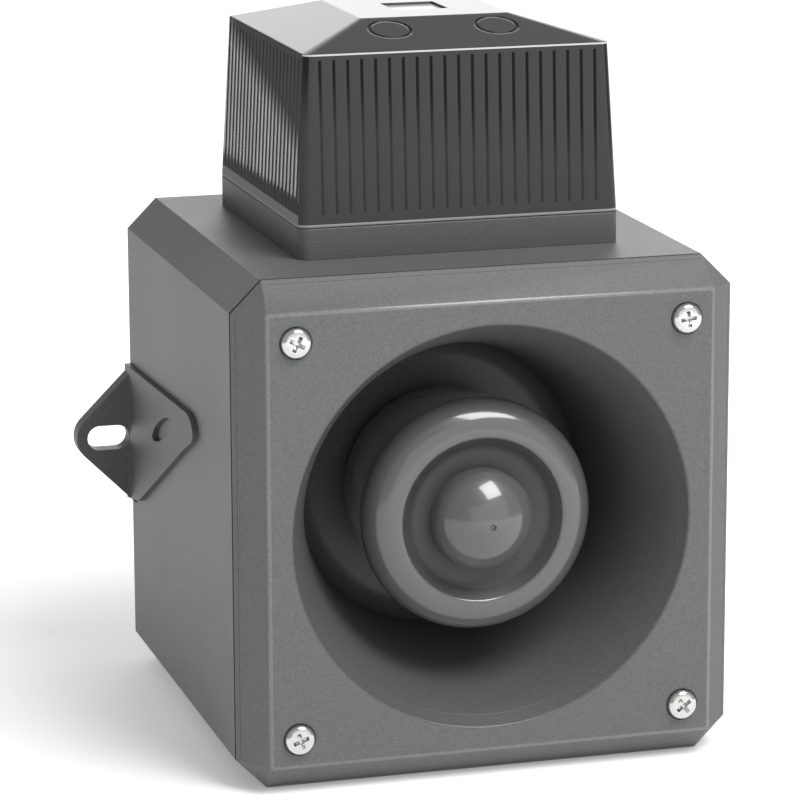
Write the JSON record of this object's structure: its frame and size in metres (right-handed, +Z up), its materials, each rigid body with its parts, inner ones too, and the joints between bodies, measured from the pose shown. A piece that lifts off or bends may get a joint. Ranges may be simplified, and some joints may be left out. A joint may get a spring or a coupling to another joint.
{
  "type": "alarm sounder",
  "caption": "Square industrial alarm sounder with a re-entrant horn in its front and a fluted flashing beacon on its roof.",
  "frame": {"origin": "middle of the flat bottom, at half of the overall depth", "axes": "+Z up, the horn faces -Y, +X to the right of someone who faces the horn"},
  "size_m": [0.1674, 0.1318, 0.1928],
  "materials": {
    "housing_plastic": "grained grey moulded plastic",
    "cover_plastic": "grained grey moulded plastic",
    "horn_plastic": "satin dark grey moulded plastic",
    "bell_plastic": "glossy dark grey moulded plastic",
    "nose_plastic": "glossy dark grey moulded plastic",
    "bright_screw": "bright stainless steel",
    "seal_rubber": "black silicone rubber",
    "lug_plastic": "dark grey moulded plastic",
    "beacon_base_plastic": "dark grey moulded plastic",
    "lens_plastic": "dark tinted glossy lens plastic",
    "black_plastic": "black moulded plastic",
    "zinc_steel": "zinc plated steel",
    "ferrite": "sintered ferrite",
    "diaphragm_resin": "resin bonded cloth",
    "copper_wire": "enamelled copper wire",
    "circuit_board": "green glass fibre circuit board",
    "terminal_plastic": "green moulded plastic",
    "switch_plastic": "blue moulded plastic",
    "white_plastic": "white moulded plastic",
    "capacitor_sleeve": "dark shrink sleeve",
    "transformer_tape": "yellow tape over copper",
    "tube_glass": "clear glass tube",
    "reflector_metal": "bright metallised reflector"
  },
  "bodies": {
    "casing": {"beacon_base": "beacon_base_plastic", "beacon_base_gasket": "seal_rubber", "beacon_board_screws": "bright_screw", "beacon_circuit_board": "circuit_board", "beacon_lens": "lens_plastic", "beacon_lens_seal": "seal_rubber", "beacon_reflector": "reflector_metal", "beacon_screws": "bright_screw", "bell_screw": "bright_screw", "board_capacitors": "capacitor_sleeve", "board_screws": "bright_screw", "board_transformer": "transformer_tape", "cable_entry_plug": "black_plastic", "cable_entry_seal": "seal_rubber", "cover_gasket": "seal_rubber", "cover_screws": "bright_screw", "driver_back_plate": "zinc_steel", "driver_connector": "white_plastic", "driver_front_plate": "black_plastic", "driver_gasket": "seal_rubber", "driver_magnet": "ferrite", "driver_screws": "bright_screw", "driver_top_plate": "zinc_steel", "flare_screws": "bright_screw", "flare_seal": "seal_rubber", "flash_capacitor": "capacitor_sleeve", "flash_tube": "tube_glass", "flash_tube_socket": "white_plastic", "front_cover": "cover_plastic", "horn_bell": "bell_plastic", "horn_flare": "horn_plastic", "lug_screws": "bright_screw", "mounting_lug_left": "lug_plastic", "mounting_lug_right": "lug_plastic", "nose_cap": "nose_plastic", "rear_housing": "housing_plastic", "sounder_circuit_board": "circuit_board", "terminal_block": "terminal_plastic", "terminal_screws": "bright_screw", "tone_switch_body": "switch_plastic", "trigger_transformer": "black_plastic", "volume_trimmer_body": "switch_plastic"},
    "lever_1": {"tone_lever_1": "white_plastic"},
    "lever_2": {"tone_lever_2": "white_plastic"},
    "lever_3": {"tone_lever_3": "white_plastic"},
    "lever_4": {"tone_lever_4": "white_plastic"},
    "lever_5": {"tone_lever_5": "white_plastic"},
    "trimmer_rotor": {"volume_trimmer_rotor": "white_plastic"},
    "diaphragm_and_coil": {"diaphragm": "diaphragm_resin", "voice_coil": "copper_wire"}
  },
  "joints": [
    {"name": "tone_switch_1", "type": "slide", "parent": "casing", "child": "lever_1", "axis": [0, 0, 1], "range_m": [0, 0.0018]},
    {"name": "tone_switch_2", "type": "slide", "parent": "casing", "child": "lever_2", "axis": [0, 0, 1], "range_m": [0, 0.0018]},
    {"name": "tone_switch_3", "type": "slide", "parent": "casing", "child": "lever_3", "axis": [0, 0, 1], "range_m": [0, 0.0018]},
    {"name": "tone_switch_4", "type": "slide", "parent": "casing", "child": "lever_4", "axis": [0, 0, 1], "range_m": [0, 0.0018]},
    {"name": "tone_switch_5", "type": "slide", "parent": "casing", "child": "lever_5", "axis": [0, 0, 1], "range_m": [0, 0.0018]},
    {"name": "volume_turn", "type": "hinge", "parent": "casing", "child": "trimmer_rotor", "pos_m": [-0.026, 0.04335, 0.079], "axis": [0, -1, 0], "range_deg": [-135, 135]},
    {"name": "diaphragm_slide", "type": "slide", "parent": "casing", "child": "diaphragm_and_coil", "axis": [0, -1, 0], "range_m": [-0.0003, 0.0003], "stiffness_N_per_m": 2000}
  ]
}
